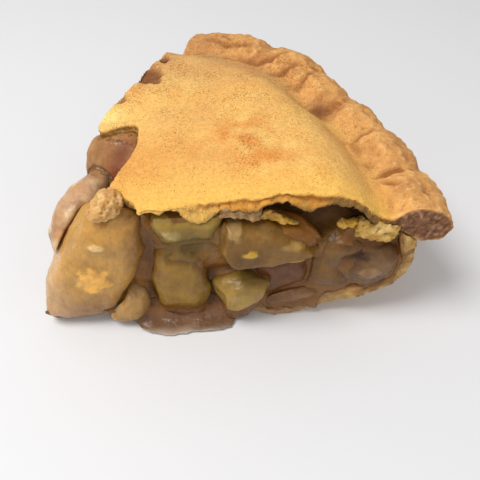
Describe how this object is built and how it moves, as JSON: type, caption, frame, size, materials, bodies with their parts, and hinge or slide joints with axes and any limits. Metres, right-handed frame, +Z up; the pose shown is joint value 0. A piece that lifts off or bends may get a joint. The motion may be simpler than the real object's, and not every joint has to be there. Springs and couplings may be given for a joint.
{
  "type": "apple pie slice",
  "caption": "Wedge of double-crust apple pie with a plain domed lid, crimped rim, cooked apple pieces set in syrup, and a thin bottom crust.",
  "frame": {"origin": "on the flat underside of the bottom crust, under the middle of the slice", "axes": "+Z up out of the lid; +X along the front cut from the tip to the rim; the front cut faces -Y"},
  "size_m": [0.1224, 0.1174, 0.0528],
  "materials": {
    "lid_crust": "baked golden crust, matt, dusted with cinnamon",
    "bottom_crust": "baked bottom crust, matt",
    "syrup": "thickened brown apple syrup, wet",
    "apple": "cooked apple, moist",
    "crust_crumb": "broken inner crust, rough and pale"
  },
  "bodies": {
    "root": {"top_crust": "lid_crust", "bottom_crust": "bottom_crust", "filling": "syrup", "apple_tip": "apple", "apple_tip_foot": "apple", "apple_tip_side": "apple", "apple_side_bulge": "apple", "apple_green_top": "apple", "apple_green_egg": "apple", "apple_centre": "apple", "apple_brown": "apple", "apple_wedge": "apple", "apple_right": "apple", "apple_right_low": "apple", "apple_right_foot": "apple", "apple_back_low": "apple", "apple_back_mid": "apple", "apple_back_foot": "apple", "apple_back_rim": "apple", "apple_back_wall": "apple", "crust_lump": "crust_crumb", "crust_bit_centre": "crust_crumb", "crust_bit_right": "crust_crumb"}
  },
  "joints": []
}
